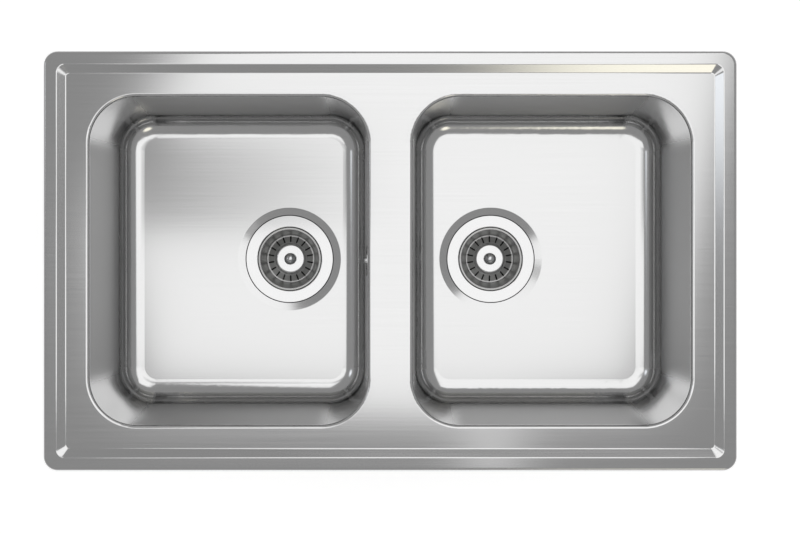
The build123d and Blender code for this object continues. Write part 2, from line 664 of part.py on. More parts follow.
def clamp_arm():
    """Pressed arm on the nut, parked along the rim, with a toothed tip that bites upwards."""
    half = ARM_WIDTH / 2
    plate_top = arm_under + CLAMP_METAL
    arm = disc(ARM_WIDTH, arm_under, plate_top)
    arm += block((0, ARM_REACH), (-half, half), (arm_under, plate_top))
    arm += block((ARM_REACH - CLAMP_METAL, ARM_REACH), (-half, half), (arm_under, plate_top + ARM_RISE))
    notch = ARM_NOTCH / 2**0.5
    arm -= Pos(ARM_REACH, 0, plate_top + ARM_RISE) * Rot(45, 0, 0) * Box(3 * CLAMP_METAL, notch, notch)
    return arm - disc(CLAMP_SCREW + 2 * ARM_BORE_GAP, arm_under, plate_top)


# --- The sink's pieces by name ---

def all_pieces():
    pieces = {"deck_panel": deck_panel(), "rim_seal": rim_seal()}
    for name, side in (("left", -1), ("right", 1)):
        drain = Pos(side * drain_x, 0, 0)
        pieces[f"{name}_bowl"] = bowl(side)
        pieces[f"{name}_sound_pad"] = sound_pad(side)
        pieces[f"{name}_waste_flange"] = drain * waste_flange()
        pieces[f"{name}_flange_gasket"] = drain * flange_gasket()
        pieces[f"{name}_body_gasket"] = drain * body_gasket()
        pieces[f"{name}_waste_body"] = drain * waste_body(side)
        pieces[f"{name}_waste_screw"] = drain * waste_screw()
        pieces[f"{name}_screw_insert"] = drain * screw_insert()
        pieces[f"{name}_basket_cup"] = drain * basket_cup()
        pieces[f"{name}_basket_knob"] = drain * basket_knob()
        pieces[f"{name}_basket_stem"] = drain * basket_stem()
        pieces[f"{name}_basket_stopper"] = drain * basket_stopper()
        pieces[f"{name}_stem_nut"] = drain * stem_nut()
    pieces["overflow_rosette"] = overflow_rosette()
    pieces["overflow_screw"] = overflow_screw()
    pieces["overflow_gasket"] = overflow_gasket()
    pieces["overflow_elbow"] = overflow_elbow()
    pieces["overflow_hose"] = overflow_hose()
    pieces["hose_clips"] = hose_clips()
    places = clamp_places()
    for name, shape in (("clamp_lugs", clamp_lug()), ("clamp_brackets", clamp_bracket()),
                        ("clamp_screws", clamp_screw())):
        pieces[name] = Compound([place * shape for place in places])
    nut, arm = clamp_nut(), clamp_arm()
    for number, place in enumerate(places, 1):
        pieces[f"clamp_nut_{number}"] = place * nut
        pieces[f"clamp_arm_{number}"] = place * arm
    return pieces


os.makedirs("parts", exist_ok=True)
for node, piece in all_pieces().items():
    export_step(piece, f"parts/{node}.step")
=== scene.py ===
"""Looks of an inset double bowl kitchen sink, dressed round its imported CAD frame.

Metres, in the row frame: the origin is the middle of the rim on the worktop's surface, +Z is up.
"""

import json
from math import cos, pi, radians, sin

import bmesh
import bpy
from mathutils import Matrix, Vector


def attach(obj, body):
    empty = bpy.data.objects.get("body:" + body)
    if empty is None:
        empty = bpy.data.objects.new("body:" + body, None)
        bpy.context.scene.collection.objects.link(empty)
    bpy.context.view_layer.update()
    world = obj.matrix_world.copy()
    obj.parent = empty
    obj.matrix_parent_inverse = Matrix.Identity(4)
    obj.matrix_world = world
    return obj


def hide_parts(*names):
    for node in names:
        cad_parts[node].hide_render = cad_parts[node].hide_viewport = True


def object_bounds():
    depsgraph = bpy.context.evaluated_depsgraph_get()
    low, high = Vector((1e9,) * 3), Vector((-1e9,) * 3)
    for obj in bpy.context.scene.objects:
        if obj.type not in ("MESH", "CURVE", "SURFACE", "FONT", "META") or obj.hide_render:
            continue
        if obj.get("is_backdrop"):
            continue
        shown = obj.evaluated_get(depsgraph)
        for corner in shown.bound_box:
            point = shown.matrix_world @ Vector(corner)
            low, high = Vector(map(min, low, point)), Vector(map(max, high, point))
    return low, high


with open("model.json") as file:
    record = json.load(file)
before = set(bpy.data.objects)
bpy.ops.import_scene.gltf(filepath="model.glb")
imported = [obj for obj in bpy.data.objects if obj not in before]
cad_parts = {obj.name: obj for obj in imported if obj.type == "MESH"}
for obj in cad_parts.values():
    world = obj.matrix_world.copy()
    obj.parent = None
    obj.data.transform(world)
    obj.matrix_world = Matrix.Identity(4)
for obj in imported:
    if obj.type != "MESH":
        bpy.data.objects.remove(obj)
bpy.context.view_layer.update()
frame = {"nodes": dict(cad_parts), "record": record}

MM = 0.001

# --- The photograph's view, straight down ---
CAMERA_X = -1.43 * MM
CAMERA_Y = 26.0 * MM
CAMERA_HEIGHT = 1.95            # above the worktop
FIELD_WIDTH = 953.6 * MM        # seen across the picture at the worktop's level
SENSOR = 36.0
SHIFT_RIGHT = 0.01375           # shares of the picture's width
SHIFT_UP = -0.035


def srgb(hex_colour):
    """Linear RGBA of an sRGB hex colour."""
    values = [int(hex_colour[i:i + 2], 16) / 255 for i in (1, 3, 5)]
    return [v / 12.92 if v <= 0.04045 else ((v + 0.055) / 1.055) ** 2.4 for v in values] + [1.0]


def add(tree, kind, settings=None, **inputs):
    """Adds a node; i0, i1... or its name is an input, set to a value or another node's output."""
    node = tree.nodes.new(kind)
    for name, value in (settings or {}).items():
        setattr(node, name, value)
    for name, value in inputs.items():
        by_number = name[0] == "i" and name[1:].isdigit()
        socket = node.inputs[int(name[1:]) if by_number else name.replace("_", " ")]
        if isinstance(value, bpy.types.NodeSocket):
            tree.links.new(value, socket)
        else:
            socket.default_value = value
    return node


def box(node):
    """Lowest and highest corner of a CAD node, and its middle."""
    axes = list(zip(*frame["nodes"][node].bound_box))
    low, high = Vector([min(axis) for axis in axes]), Vector([max(axis) for axis in axes])
    return low, high, (low + high) / 2


def make_camera():
    """Looks straight down; the shift puts the sink where the photograph has it."""
    data = bpy.data.cameras.new("camera")
    data.sensor_width = SENSOR
    data.lens = SENSOR * CAMERA_HEIGHT / FIELD_WIDTH
    data.shift_x, data.shift_y = SHIFT_RIGHT, SHIFT_UP
    camera = bpy.data.objects.new("camera", data)
    camera.location = (CAMERA_X, CAMERA_Y, CAMERA_HEIGHT)
    bpy.context.scene.collection.objects.link(camera)
    bpy.context.scene.camera = camera


# --- Studio: grey surroundings with two small lamps, one large softbox close over the sink, floor ---
GREY = 0.385                    # radiance of the surroundings, where 1 is white
HORIZON = 0.62                  # and low down
HORIZON_RISE = (0.42, 0.10)     # sines of the heights between which it comes in
LAMPS = (                       # towards (x, y, 1); half its angle and of its soft edge; light
    (0.37, -1.30, 8.0, 2.0, "#FFFBEB", 1.75),       # warm, in front
    (-1.03, 0.19, 5.0, 2.5, "#F6FAFF", 1.75))       # cool, at the left
SOFTBOX_HEIGHT = 1.10
SOFTBOX = 1.44                  # its radiance
SOFTBOX_CLOTH = ((-0.8, -0.6), (-0.8, 1.1), (0.9, 1.1), (0.9, -0.6))    # sheet that its shape is on
SOFTBOX_SIDES = (               # a side's outward direction, its distance and half its soft width
    (-1.0, 0.55, 0.602, 0.08),      # back left corner, cut off
    (-1.0, -0.16, 0.547, 0.02),     # left
    (-0.06, -1.0, 0.306, 0.03),     # front, left and right of its corner
    (0.10, -1.0, 0.329, 0.03),
    (1.0, -0.20, 0.563, 0.03),      # right
    (0.0, 1.0, 0.96, 0.05))         # back
REFLECTOR = (0.190, -0.374, 0.025, 0.100)   # round, at its front: place, radius, half its soft width
FLAG_X = (0.0, -0.595)          # a grey flag in its left half: where it starts and would be full
FLAG_END = -0.53
FLAG_Y = (0.049, 0.239)         # its front and back edge
FLAG_SOFT = 0.02                # half the soft width of its edges
FLOOR_HALF = 6.0
FLOOR_PAPER = "#E8E8E8"
FLOOR_WHITE = 0.66              # what the camera and the metal see added to the paper


def within(tree, *edges):
    """Product of soft edges, each a value and the two levels between which it goes from 0 to 1."""
    mask = 1.0
    for value, low, high in edges:
        edge = add(tree, "ShaderNodeMapRange", {"interpolation_type": "SMOOTHSTEP"}, Value=value,
                   From_Min=low, From_Max=high).outputs[0]
        mask = edge if mask == 1.0 else add(tree, "ShaderNodeMath", {"operation": "MULTIPLY"},
                                            i0=mask, i1=edge).outputs[0]
    return mask


def make_surroundings():
    """World: grey, lighter low down, with round soft-edged lamps."""
    world = bpy.data.worlds.new("studio")
    world.use_nodes = True
    bpy.context.scene.world = world
    tree = world.node_tree
    tree.nodes.clear()
    ray = add(tree, "ShaderNodeTexCoord").outputs["Generated"]
    height = add(tree, "ShaderNodeSeparateXYZ", Vector=ray).outputs["Z"]
    lights = [(within(tree, (height, *HORIZON_RISE)), "#FFFFFF", HORIZON)]
    for slope_x, slope_y, half_angle, soft_angle, tint, radiance in LAMPS:
        axis = Vector((slope_x, slope_y, 1)).normalized()
        toward = add(tree, "ShaderNodeVectorMath", {"operation": "DOT_PRODUCT"}, i0=ray, i1=axis)
        edge = (cos(radians(half_angle + soft_angle)), cos(radians(half_angle - soft_angle)))
        lights.append((within(tree, (toward.outputs["Value"], *edge)), tint, radiance))
    colour = add(tree, "ShaderNodeRGB").outputs[0]
    colour.default_value = [GREY, GREY, GREY, 1.0]
    for mask, tint, radiance in lights:
        light = [c * radiance for c in srgb(tint)[:3]] + [1.0]
        colour = add(tree, "ShaderNodeMix", {"data_type": "RGBA"}, i0=mask, i6=colour,
                     i7=light).outputs[2]
    background = add(tree, "ShaderNodeBackground", Color=colour, Strength=1.0)
    tree.links.new(background.outputs[0], add(tree, "ShaderNodeOutputWorld").inputs["Surface"])


def make_softbox():
    """Soft-edged panel that lights and mirrors in the sink; the camera looks down through it."""
    mesh = bpy.data.meshes.new("studio_softbox")
    mesh.from_pydata([(x, y, SOFTBOX_HEIGHT) for x, y in SOFTBOX_CLOTH], [], [(0, 1, 2, 3)])
    panel = bpy.data.objects.new("studio_softbox", mesh)
    bpy.context.scene.collection.objects.link(panel)
    panel.visible_camera = False
    material = bpy.data.materials.new("softbox_cloth")
    material.use_nodes = True
    tree = material.node_tree
    tree.nodes.clear()
    place = add(tree, "ShaderNodeTexCoord").outputs["Object"]
    axes = add(tree, "ShaderNodeSeparateXYZ", Vector=place).outputs
    sides = []
    for out_x, out_y, edge, soft in SOFTBOX_SIDES:
        out = add(tree, "ShaderNodeVectorMath", {"operation": "DOT_PRODUCT"}, i0=place,
                  i1=(out_x, out_y, 0)).outputs["Value"]
        sides.append((out, edge + soft, edge - soft))
    flag = add(tree, "ShaderNodeMapRange", Value=axes["X"], From_Min=FLAG_X[0],
               From_Max=FLAG_X[1]).outputs[0]
    flag = add(tree, "ShaderNodeMath", {"operation": "MULTIPLY"}, i0=flag, i1=within(
        tree, (axes["Y"], FLAG_Y[0] - FLAG_SOFT, FLAG_Y[0] + FLAG_SOFT),
        (axes["Y"], FLAG_Y[1] + FLAG_SOFT, FLAG_Y[1] - FLAG_SOFT),
        (axes["X"], FLAG_END - FLAG_SOFT, FLAG_END + FLAG_SOFT))).outputs[0]
    open_part = add(tree, "ShaderNodeMath", {"operation": "SUBTRACT"}, i0=1.0, i1=flag).outputs[0]
    mask = add(tree, "ShaderNodeMath", {"operation": "MULTIPLY"}, i0=open_part,
               i1=within(tree, *sides)).outputs[0]
    x, y, radius, soft = REFLECTOR
    away = add(tree, "ShaderNodeVectorMath", {"operation": "DISTANCE"}, i0=place,
               i1=(x, y, SOFTBOX_HEIGHT)).outputs["Value"]
    mask = add(tree, "ShaderNodeMath", {"operation": "MAXIMUM"}, i0=mask,
               i1=within(tree, (away, radius + soft, radius - soft))).outputs[0]
    back = add(tree, "ShaderNodeNewGeometry").outputs["Backfacing"]     # its upper side gives no light
    mask = add(tree, "ShaderNodeMath", {"operation": "MULTIPLY"}, i0=mask,
               i1=within(tree, (back, 1.0, 0.0))).outputs[0]
    clear = add(tree, "ShaderNodeBsdfTransparent").outputs[0]
    glow = add(tree, "ShaderNodeEmission", Color=srgb("#FFFFFF"), Strength=SOFTBOX).outputs[0]
    shown = add(tree, "ShaderNodeMixShader", i0=mask, i1=clear, i2=glow).outputs[0]
    tree.links.new(shown, add(tree, "ShaderNodeOutputMaterial").inputs["Surface"])
    mesh.materials.append(material)
    panel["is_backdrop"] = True


def make_floor():
    """Pale floor under the waste outlets; only the camera and metal see its added white.

    It is clear from below, so that the sink's underside can be looked at."""
    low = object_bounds()[0].z
    mesh = bpy.data.meshes.new("studio_floor")
    corners = ((-1, -1), (1, -1), (1, 1), (-1, 1))
    mesh.from_pydata([(x * FLOOR_HALF, y * FLOOR_HALF, low) for x, y in corners], [], [(0, 1, 2, 3)])
    floor = bpy.data.objects.new("studio_floor", mesh)
    bpy.context.scene.collection.objects.link(floor)
    material = bpy.data.materials.new("pale_paper_floor")
    material.use_nodes = True
    tree = material.node_tree
    tree.nodes.clear()
    path = add(tree, "ShaderNodeLightPath").outputs
    mirrored = add(tree, "ShaderNodeMath", {"operation": "MAXIMUM"}, i0=path["Is Glossy Ray"],
                   i1=path["Is Transmission Ray"]).outputs[0]
    seen = add(tree, "ShaderNodeMath", {"operation": "MAXIMUM"}, i0=path["Is Camera Ray"],
               i1=mirrored).outputs[0]
    paper = add(tree, "ShaderNodeBsdfDiffuse", Color=srgb(FLOOR_PAPER)).outputs[0]
    white = add(tree, "ShaderNodeEmission", Color=srgb("#FFFFFF"), Strength=FLOOR_WHITE).outputs[0]
    both = add(tree, "ShaderNodeAddShader", i0=paper, i1=white).outputs[0]
    shown = add(tree, "ShaderNodeMixShader", i0=seen, i1=paper, i2=both).outputs[0]
    below = add(tree, "ShaderNodeNewGeometry").outputs["Backfacing"]
    clear = add(tree, "ShaderNodeBsdfTransparent").outputs[0]
    shown = add(tree, "ShaderNodeMixShader", i0=below, i1=shown, i2=clear).outputs[0]
    tree.links.new(shown, add(tree, "ShaderNodeOutputMaterial").inputs["Surface"])
    mesh.materials.append(material)
    floor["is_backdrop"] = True


make_camera()
make_surroundings()
make_softbox()
make_floor()


# --- Finishes ---

GLOSS_SWING = 0.2               # share of a finish's roughness, up and down over its grain
GRAIN_DEPTH = 0.2               # share of a grain's size
BOWL_X = box("right_bowl")[2].x             # both bowls' middles, left and right
WASTE_X = box("right_waste_flange")[2].x    # and both wastes' axes
WALL_TOP = (-3.0 * MM, -7.0 * MM)           # under the bowls' folds: as the deck, then dull wall
WALL_FOOT = (-162.0 * MM, -146.0 * MM)      # over the floors' fillets: burnished, then dull wall
CORNER_X = (128.0 * MM, 100.0 * MM)         # from a bowl's middle: burnished corner, then dull wall
CORNER_Y = (158.0 * MM, 130.0 * MM)
WALL_FACES_OUT = (0.0, 20.0 * MM)           # a face's normal times its place from the bowl's middle
WALL_FACES_DOWN = (-0.05, -0.3)             # its normal's upward part
HUB_EDGE = (22.2 * MM, 20.8 * MM)           # radii: tumbled cup, then the hub with its painted highlight


def finish(name, colour, roughness, metal=0.0, grain=0.5, tone=0.06, relief=0.05, streak=1.0):
    """Grain of a size in mm in colour, gloss and relief; a streak is that many grains long, along X."""
    material = bpy.data.materials.new(name)
    material.use_nodes = True
    tree = material.node_tree
    shader = tree.nodes["Principled BSDF"]
    shader.inputs["Metallic"].default_value = metal
    place = add(tree, "ShaderNodeTexCoord").outputs["Object"]
    fine = 1 / (grain * MM)
    drawn_out = add(tree, "ShaderNodeMapping", Vector=place, Scale=(fine / streak, fine, fine))
    noise = add(tree, "ShaderNodeTexNoise", Vector=drawn_out.outputs[0], Scale=1.0,
                Detail=3.0).outputs["Fac"]
    light = srgb(colour)
    dark = [c * (1 - tone) for c in light[:3]] + [1.0]
    shade = add(tree, "ShaderNodeMix", {"data_type": "RGBA"}, i0=noise, i6=dark, i7=light)
    tree.links.new(shade.outputs[2], shader.inputs["Base Color"])
    rough = add(tree, "ShaderNodeMapRange", Value=noise, To_Min=roughness * (1 - GLOSS_SWING),
                To_Max=roughness * (1 + GLOSS_SWING))
    tree.links.new(rough.outputs[0], shader.inputs["Roughness"])
    bump = add(tree, "ShaderNodeBump", Height=noise, Strength=relief,
               Distance=grain * MM * GRAIN_DEPTH)
    tree.links.new(bump.outputs[0], shader.inputs["Normal"])
    return material


def dull_walls(material, more):
    """Adds roughness to the bowls' straight walls inside, and all over their unbrushed outside."""
    tree = material.node_tree
    rough = tree.nodes["Principled BSDF"].inputs["Roughness"]
    place = add(tree, "ShaderNodeTexCoord").outputs
    height = add(tree, "ShaderNodeSeparateXYZ", Vector=place["Object"]).outputs["Z"]

    # the bowls' quarters folded on one another, and measured from a bowl's middle
    fold = add(tree, "ShaderNodeVectorMath", {"operation": "SIGN"}, i0=place["Object"])
    facing = add(tree, "ShaderNodeVectorMath", {"operation": "MULTIPLY"}, i0=place["Normal"],
                 i1=fold.outputs[0])
    spot = add(tree, "ShaderNodeVectorMath", {"operation": "ABSOLUTE"}, i0=place["Object"])
    spot = add(tree, "ShaderNodeVectorMath", {"operation": "SUBTRACT"}, i0=spot.outputs[0],
               i1=(BOWL_X, 0, 0))
    spot = add(tree, "ShaderNodeVectorMath", {"operation": "MULTIPLY"}, i0=spot.outputs[0],
               i1=(1, 1, 0))

    # outside: faces that look away from the middle, or down
    away = add(tree, "ShaderNodeVectorMath", {"operation": "DOT_PRODUCT"}, i0=facing.outputs[0],
               i1=spot.outputs[0]).outputs["Value"]
    up = add(tree, "ShaderNodeSeparateXYZ", Vector=place["Normal"]).outputs["Z"]
    outside = add(tree, "ShaderNodeMath", {"operation": "MAXIMUM"},
                  i0=within(tree, (away, *WALL_FACES_OUT)), i1=within(tree, (up, *WALL_FACES_DOWN)))

    # straight: clear of the corners along one side or the other, and of the floor's fillet
    spot = add(tree, "ShaderNodeVectorMath", {"operation": "ABSOLUTE"}, i0=spot.outputs[0])
    beside = add(tree, "ShaderNodeSeparateXYZ", Vector=spot.outputs[0]).outputs
    straight = add(tree, "ShaderNodeMath", {"operation": "MAXIMUM"},
                   i0=within(tree, (beside["X"], *CORNER_X)), i1=within(tree, (beside["Y"], *CORNER_Y)))
    straight = add(tree, "ShaderNodeMath", {"operation": "MULTIPLY"}, i0=straight.outputs[0],
                   i1=within(tree, (height, *WALL_FOOT)))

    dull = add(tree, "ShaderNodeMath", {"operation": "MAXIMUM"}, i0=straight.outputs[0],
               i1=outside.outputs[0])
    dull = add(tree, "ShaderNodeMath", {"operation": "MULTIPLY"}, i0=dull.outputs[0],
               i1=within(tree, (height, *WALL_TOP)))
    dull = add(tree, "ShaderNodeMath", {"operation": "MULTIPLY"}, i0=dull.outputs[0], i1=more)
    both = add(tree, "ShaderNodeMath", {"operation": "ADD"}, i0=rough.links[0].from_socket,
               i1=dull.outputs[0])
    tree.links.new(both.outputs[0], rough)


def paint_hubs_brighter(material, colour, roughness):
    """Smoother metal on the baskets' hubs, with their colour painted brighter as a painted highlight."""
    tree = material.node_tree
    shader = tree.nodes["Principled BSDF"]
    place = add(tree, "ShaderNodeTexCoord").outputs["Object"]
    axes = add(tree, "ShaderNodeSeparateXYZ", Vector=place).outputs
    out = add(tree, "ShaderNodeMath", {"operation": "ABSOLUTE"}, i0=axes["X"]).outputs[0]
    out = add(tree, "ShaderNodeMath", {"operation": "SUBTRACT"}, i0=out, i1=WASTE_X).outputs[0]
    plan = add(tree, "ShaderNodeCombineXYZ", X=out, Y=axes["Y"]).outputs[0]
    radius = add(tree, "ShaderNodeVectorMath", {"operation": "LENGTH"}, i0=plan).outputs["Value"]
    # painted highlight: inside this radius the colour is painted brighter, and the metal is smoother
    hub_highlight = within(tree, (radius, *HUB_EDGE))
    tone = add(tree, "ShaderNodeMix", {"data_type": "RGBA"}, i0=hub_highlight, i7=srgb(colour),
               i6=shader.inputs["Base Color"].links[0].from_socket)
    tree.links.new(tone.outputs[2], shader.inputs["Base Color"])
    rough = add(tree, "ShaderNodeMix", i0=hub_highlight, i3=roughness,
                i2=shader.inputs["Roughness"].links[0].from_socket)
    tree.links.new(rough.outputs[0], shader.inputs["Roughness"])


# Grain is in mm. The real grit and brush lines are 0.02 to 0.1 mm wide, too fine to show, so each is
# drawn as coarse as it needs to show.

# Cold-rolled 304 stainless sheet, brushed along the sink: soft mirror of the studio with long fine
# streaks. The straight walls were only wiped with the brush and stay duller, the drawing die left the
# corners burnished, and the outside keeps the mill's dull grey.
brushed_sheet = finish("brushed_304_stainless_sheet", "#D0D0D0", 0.14, metal=1.0, grain=1.1,
                       tone=0.085, relief=0.03, streak=150)
dull_walls(brushed_sheet, 0.34)

# Pressed 304 basket, barrel-tumbled: dull grey between the slots; the hub is smoother, and its colour is
# painted brighter as a painted highlight.
strainer_sheet = finish("tumbled_stainless_strainer", "#B8B8B7", 0.36, metal=1.0, grain=1.0,
                        tone=0.10, relief=0.03)
paint_hubs_brighter(strainer_sheet, "#D0D0D0", 0.12)

FINISHES = {
    "satin_stainless": brushed_sheet,
    # spun 304 flange, buffed on a wheel: clear, bright mirror round the drain
    "polished_stainless": finish("buffed_stainless_ring", "#D0D0D0", 0.07, metal=1.0, grain=2.0,
                                 tone=0.03, relief=0.01),
    "strainer_stainless": strainer_sheet,
    # chrome plate on turned brass: dark, crisp reflections with a bright spot on the dome
    "chrome_knob": finish("chrome_plated_brass", "#C4C5C6", 0.10, metal=1.0, grain=2.0, tone=0.04,
                          relief=0.01),
    # cold-headed A2 stainless screws and nuts: dull grey with a fine grain
    "fastener_stainless": finish("cold_headed_a2_stainless", "#BDBDBB", 0.28, metal=1.0, grain=0.8),
    # turned brass insert: warm yellow, soft shine
    "brass": finish("turned_brass", "#D6B36A", 0.25, metal=1.0, grain=0.8),
    # moulded EPDM stopper: near black, matt with a faint bloom
    "black_rubber": finish("moulded_epdm_rubber", "#1F1F20", 0.55, grain=0.6, tone=0.15),
    # die-cut rubber gaskets: dark grey, matt
    "grey_rubber": finish("die_cut_gasket_rubber", "#47484A", 0.6, grain=0.6, tone=0.12),
    # pressed, filled rubber pads: dull charcoal with coarse grit
    "sound_pad_rubber": finish("pressed_damping_rubber", "#3B3B3C", 0.8, grain=1.5, tone=0.2,
                               relief=0.3),
    # closed-cell polyethylene foam strip: charcoal, dry and pitted
    "seal_foam": finish("closed_cell_pe_foam", "#3A3A3C", 0.9, grain=0.8, tone=0.3, relief=0.6),
    # injection-moulded polypropylene: warm white, half matt
    "white_polypropylene": finish("moulded_white_polypropylene", "#E2E2DE", 0.42, grain=1.0,
                                  tone=0.03),
    # blow-moulded polyethylene hose: milky white, waxy
    "white_hose": finish("corrugated_white_polyethylene", "#DEDED8", 0.45, grain=1.0, tone=0.03),
    # zinc-plated and blue-passivated mild steel: cool grey with a faint, cloudy spangle
    "zinc_plated_steel": finish("zinc_plated_mild_steel", "#C6C7C5", 0.34, metal=1.0, grain=2.5,
                                tone=0.16),
}
for part in frame["record"]["subparts"]:
    mesh = frame["nodes"][part["node"]].data
    mesh.materials.clear()
    mesh.materials.append(FINISHES[part["material_slot"]])


# --- Geometry Nodes trees for what repeats or follows a path ---

FLOAT, INTEGER, VECTOR = "NodeSocketFloat", "NodeSocketInt", "NodeSocketVector"
RIB_RISE = (0.25, 0.45)         # shares of a rib's pitch: valley's end and crest's start
RIB_FALL = (1.0, 0.8)           # next valley's start and crest's end
RIB_STEP = 0.1                  # share of a pitch between two rings of the mesh
STUD_TAPER = 0.8                # tip's share of a stud's radius


def new_tree(name, **sizes):
    """Tree with a Geometry input, the named sizes, a Material input and a Geometry output."""
    tree = bpy.data.node_groups.new(name, "GeometryNodeTree")
    tree.interface.new_socket("Geometry", in_out="INPUT", socket_type="NodeSocketGeometry")
    for label, kind in sizes.items():
        tree.interface.new_socket(label.replace("_", " "), in_out="INPUT", socket_type=kind)
    tree.interface.new_socket("Material", in_out="INPUT", socket_type="NodeSocketMaterial")
    tree.interface.new_socket("Geometry", in_out="OUTPUT", socket_type="NodeSocketGeometry")
    return tree, add(tree, "NodeGroupInput").outputs


def end_tree(tree, geometry, inputs, smooth=True):
    """Real mesh with its material, at the end of each tree."""
    real = add(tree, "GeometryNodeRealizeInstances", Geometry=geometry).outputs[0]
    shaded = add(tree, "GeometryNodeSetShadeSmooth", Geometry=real, Shade_Smooth=smooth).outputs[0]
    dressed = add(tree, "GeometryNodeSetMaterial", Geometry=shaded, Material=inputs["Material"])
    add(tree, "NodeGroupOutput", Geometry=dressed.outputs[0])
    return tree


def strip_tree():
    """Strip of rectangular section with rounded edges, along a level path."""
    tree, inputs = new_tree("strip_along_path", Width=FLOAT, Height=FLOAT, Edge=FLOAT)
    path = add(tree, "GeometryNodeMeshToCurve", Mesh=inputs["Geometry"]).outputs[0]
    path = add(tree, "GeometryNodeSetCurveNormal", {"mode": "Z_UP"}, Curve=path).outputs[0]
    section = add(tree, "GeometryNodeCurvePrimitiveQuadrilateral", Width=inputs["Width"],
                  Height=inputs["Height"])
    section = add(tree, "GeometryNodeFilletCurve", {"mode": "POLY"}, Curve=section.outputs[0],
                  Count=2, Radius=inputs["Edge"])
    strip = add(tree, "GeometryNodeCurveToMesh", Curve=path, Profile_Curve=section.outputs[0],
                Fill_Caps=True)
    return end_tree(tree, strip.outputs[0], inputs)


def hose_tree():
    """Corrugated hose with plain cuffs, along a bent path: the ribs' radius follows the length."""
    tree, inputs = new_tree("ribbed_hose", Bend=FLOAT, Length=FLOAT, Cuff=FLOAT, Pitch=FLOAT,
                            Valley_Radius=FLOAT, Crest_Radius=FLOAT)
    path = add(tree, "GeometryNodeMeshToCurve", Mesh=inputs["Geometry"]).outputs[0]
    path = add(tree, "GeometryNodeFilletCurve", {"mode": "POLY"}, Curve=path, Count=32,
               Radius=inputs["Bend"])
    step = add(tree, "ShaderNodeMath", {"operation": "MULTIPLY"}, i0=inputs["Pitch"], i1=RIB_STEP)
    path = add(tree, "GeometryNodeResampleCurve", {"mode": "LENGTH"}, Curve=path.outputs[0],
               Length=step.outputs[0])

    # place within a rib, from the end of the first cuff
    along = add(tree, "GeometryNodeSplineParameter").outputs["Length"]
    ribs = add(tree, "ShaderNodeMath", {"operation": "SUBTRACT"}, i0=along, i1=inputs["Cuff"])
    ribs = add(tree, "ShaderNodeMath", {"operation": "DIVIDE"}, i0=ribs.outputs[0], i1=inputs["Pitch"])
    share = add(tree, "ShaderNodeMath", {"operation": "FRACT"}, i0=ribs.outputs[0]).outputs[0]
    rise, fall = (add(tree, "ShaderNodeMapRange", {"interpolation_type": "SMOOTHSTEP"}, Value=share,
                      From_Min=low, From_Max=high).outputs[0] for low, high in (RIB_RISE, RIB_FALL))
    crest = add(tree, "ShaderNodeMath", {"operation": "MINIMUM"}, i0=rise, i1=fall).outputs[0]

    # the cuffs at both ends are as wide as a crest
    last = add(tree, "ShaderNodeMath", {"operation": "SUBTRACT"}, i0=inputs["Length"], i1=inputs["Cuff"])
    for side, edge in (("LESS_THAN", inputs["Cuff"]), ("GREATER_THAN", last.outputs[0])):
        cuff = add(tree, "ShaderNodeMath", {"operation": side}, i0=along, i1=edge).outputs[0]
        crest = add(tree, "ShaderNodeMath", {"operation": "MAXIMUM"}, i0=crest, i1=cuff).outputs[0]
    radius = add(tree, "ShaderNodeMapRange", Value=crest, To_Min=inputs["Valley Radius"],
                 To_Max=inputs["Crest Radius"]).outputs[0]
    section = add(tree, "GeometryNodeCurvePrimitiveCircle", Resolution=40, Radius=1.0).outputs[0]
    hose = add(tree, "GeometryNodeCurveToMesh", Curve=path.outputs[0], Profile_Curve=section,
               Scale=radius, Fill_Caps=False)
    return end_tree(tree, hose.outputs[0], inputs)


def pad_tree():
    """Rows of shallow pressed studs, added to a pad's slab."""
    tree, inputs = new_tree("studded_pad", Rows_X=INTEGER, Rows_Y=INTEGER, Reach_X=FLOAT,
                            Reach_Y=FLOAT, Stud_Radius=FLOAT, Stud_Height=FLOAT, Place=VECTOR)
    grid = add(tree, "GeometryNodeMeshGrid", Size_X=inputs["Reach X"], Size_Y=inputs["Reach Y"],
               Vertices_X=inputs["Rows X"], Vertices_Y=inputs["Rows Y"]).outputs[0]
    grid = add(tree, "GeometryNodeTransform", Geometry=grid, Translation=inputs["Place"]).outputs[0]
    tip = add(tree, "ShaderNodeMath", {"operation": "MULTIPLY"}, i0=inputs["Stud Radius"],
              i1=STUD_TAPER).outputs[0]
    stud = add(tree, "GeometryNodeMeshCone", Vertices=8, Radius_Top=inputs["Stud Radius"],
               Radius_Bottom=tip, Depth=inputs["Stud Height"]).outputs[0]
    studs = add(tree, "GeometryNodeInstanceOnPoints", Points=grid, Instance=stud).outputs[0]
    both = add(tree, "GeometryNodeJoinGeometry", Geometry=studs)
    tree.links.new(inputs["Geometry"], both.inputs[0])
    return end_tree(tree, both.outputs[0], inputs, False)


def thread_tree():
    """One thread ridge wound up each point of a mesh."""
    tree, inputs = new_tree("screw_thread", Radius=FLOAT, Length=FLOAT, Turns=FLOAT, Ridge=FLOAT)
    spiral = add(tree, "GeometryNodeCurveSpiral", Resolution=32, Rotations=inputs["Turns"],
                 Start_Radius=inputs["Radius"], End_Radius=inputs["Radius"],
                 Height=inputs["Length"]).outputs[0]
    ridge = add(tree, "GeometryNodeCurvePrimitiveCircle", Resolution=4, Radius=inputs["Ridge"])
    thread = add(tree, "GeometryNodeCurveToMesh", Curve=spiral, Profile_Curve=ridge.outputs[0],
                 Fill_Caps=True).outputs[0]
    threads = add(tree, "GeometryNodeInstanceOnPoints", Points=inputs["Geometry"], Instance=thread)
    return end_tree(tree, threads.outputs[0], inputs)


